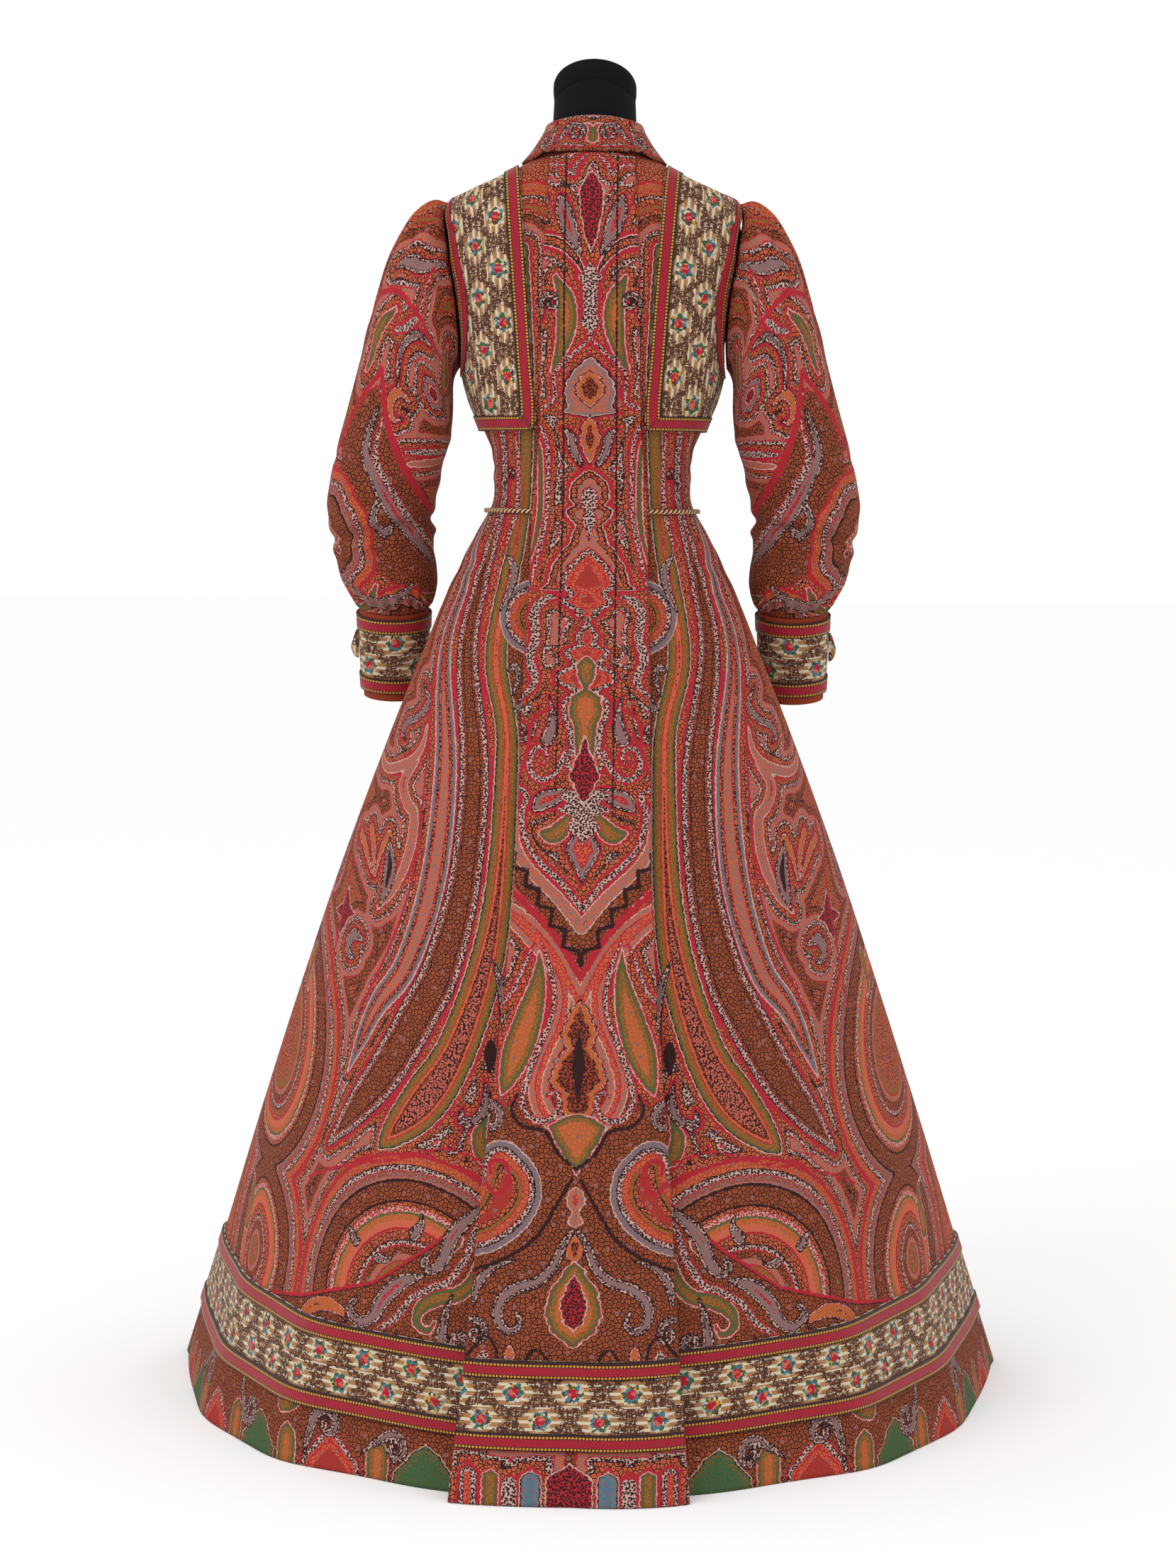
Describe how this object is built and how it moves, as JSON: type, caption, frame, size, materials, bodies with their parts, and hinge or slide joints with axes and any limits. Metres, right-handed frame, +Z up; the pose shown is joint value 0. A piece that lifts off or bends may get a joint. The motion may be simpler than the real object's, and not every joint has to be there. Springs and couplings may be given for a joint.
{
  "type": "house dress on a dress form with stand",
  "caption": "Trained house dress of paisley cloth with a box-pleated back, bolero panels and cuffs of flowered cloth, on a limbless dress form and stand.",
  "frame": {"origin": "on the floor, at the centre of the stand's base", "axes": "+Z up, -Y the dress's back with its train, +Y its front, +X the wearer's right seen from behind on the viewer's right"},
  "size_m": [0.9586, 0.9717, 1.5276],
  "materials": {
    "shawl_cloth": "twilled wool shawl cloth woven in reds, greens and greys, matt with a faint nap",
    "flowered_cloth": "cream and tan striped cotton with brown clouds and small rose sprays, matt",
    "ribbon": "crimson ribbed ribbon with a narrow edge of yellow dots on dark, slight sheen",
    "cord": "twisted silk cord of cream, gold and maroon strands",
    "form_cloth": "black stretched jersey over padding, matt",
    "stand_metal": "black enamelled steel, satin"
  },
  "bodies": {
    "root": {"back_left": "shawl_cloth", "back_right": "shawl_cloth", "bolero_back_armhole_ribbon_left": "ribbon", "bolero_back_armhole_ribbon_right": "ribbon", "bolero_back_left": "flowered_cloth", "bolero_back_ribbon_left": "ribbon", "bolero_back_ribbon_right": "ribbon", "bolero_back_right": "flowered_cloth", "bolero_front_armhole_ribbon_left": "ribbon", "bolero_front_armhole_ribbon_right": "ribbon", "bolero_front_left": "flowered_cloth", "bolero_front_ribbon_left": "ribbon", "bolero_front_ribbon_right": "ribbon", "bolero_front_right": "flowered_cloth", "centre_back_pleat": "shawl_cloth", "collar": "shawl_cloth", "collar_stand": "shawl_cloth", "cuff_band_left": "flowered_cloth", "cuff_band_right": "flowered_cloth", "cuff_left": "shawl_cloth", "cuff_ribbon_lower_left": "ribbon", "cuff_ribbon_lower_right": "ribbon", "cuff_ribbon_upper_left": "ribbon", "cuff_ribbon_upper_right": "ribbon", "cuff_right": "shawl_cloth", "cuff_tab_left": "shawl_cloth", "cuff_tab_right": "shawl_cloth", "form_neck_cap": "form_cloth", "form_torso": "form_cloth", "front_left": "shawl_cloth", "front_placket": "shawl_cloth", "front_right": "shawl_cloth", "hem_band_left": "flowered_cloth", "hem_band_right": "flowered_cloth", "hem_ribbon_lower_left": "ribbon", "hem_ribbon_lower_right": "ribbon", "hem_ribbon_upper_left": "ribbon", "hem_ribbon_upper_right": "ribbon", "pleat_band": "flowered_cloth", "pleat_ribbon_lower": "ribbon", "pleat_ribbon_upper": "ribbon", "sleeve_left": "shawl_cloth", "sleeve_right": "shawl_cloth", "stand_base": "stand_metal", "stand_pole": "stand_metal", "waist_cord": "cord", "waist_cord_knot": "cord"}
  },
  "joints": []
}
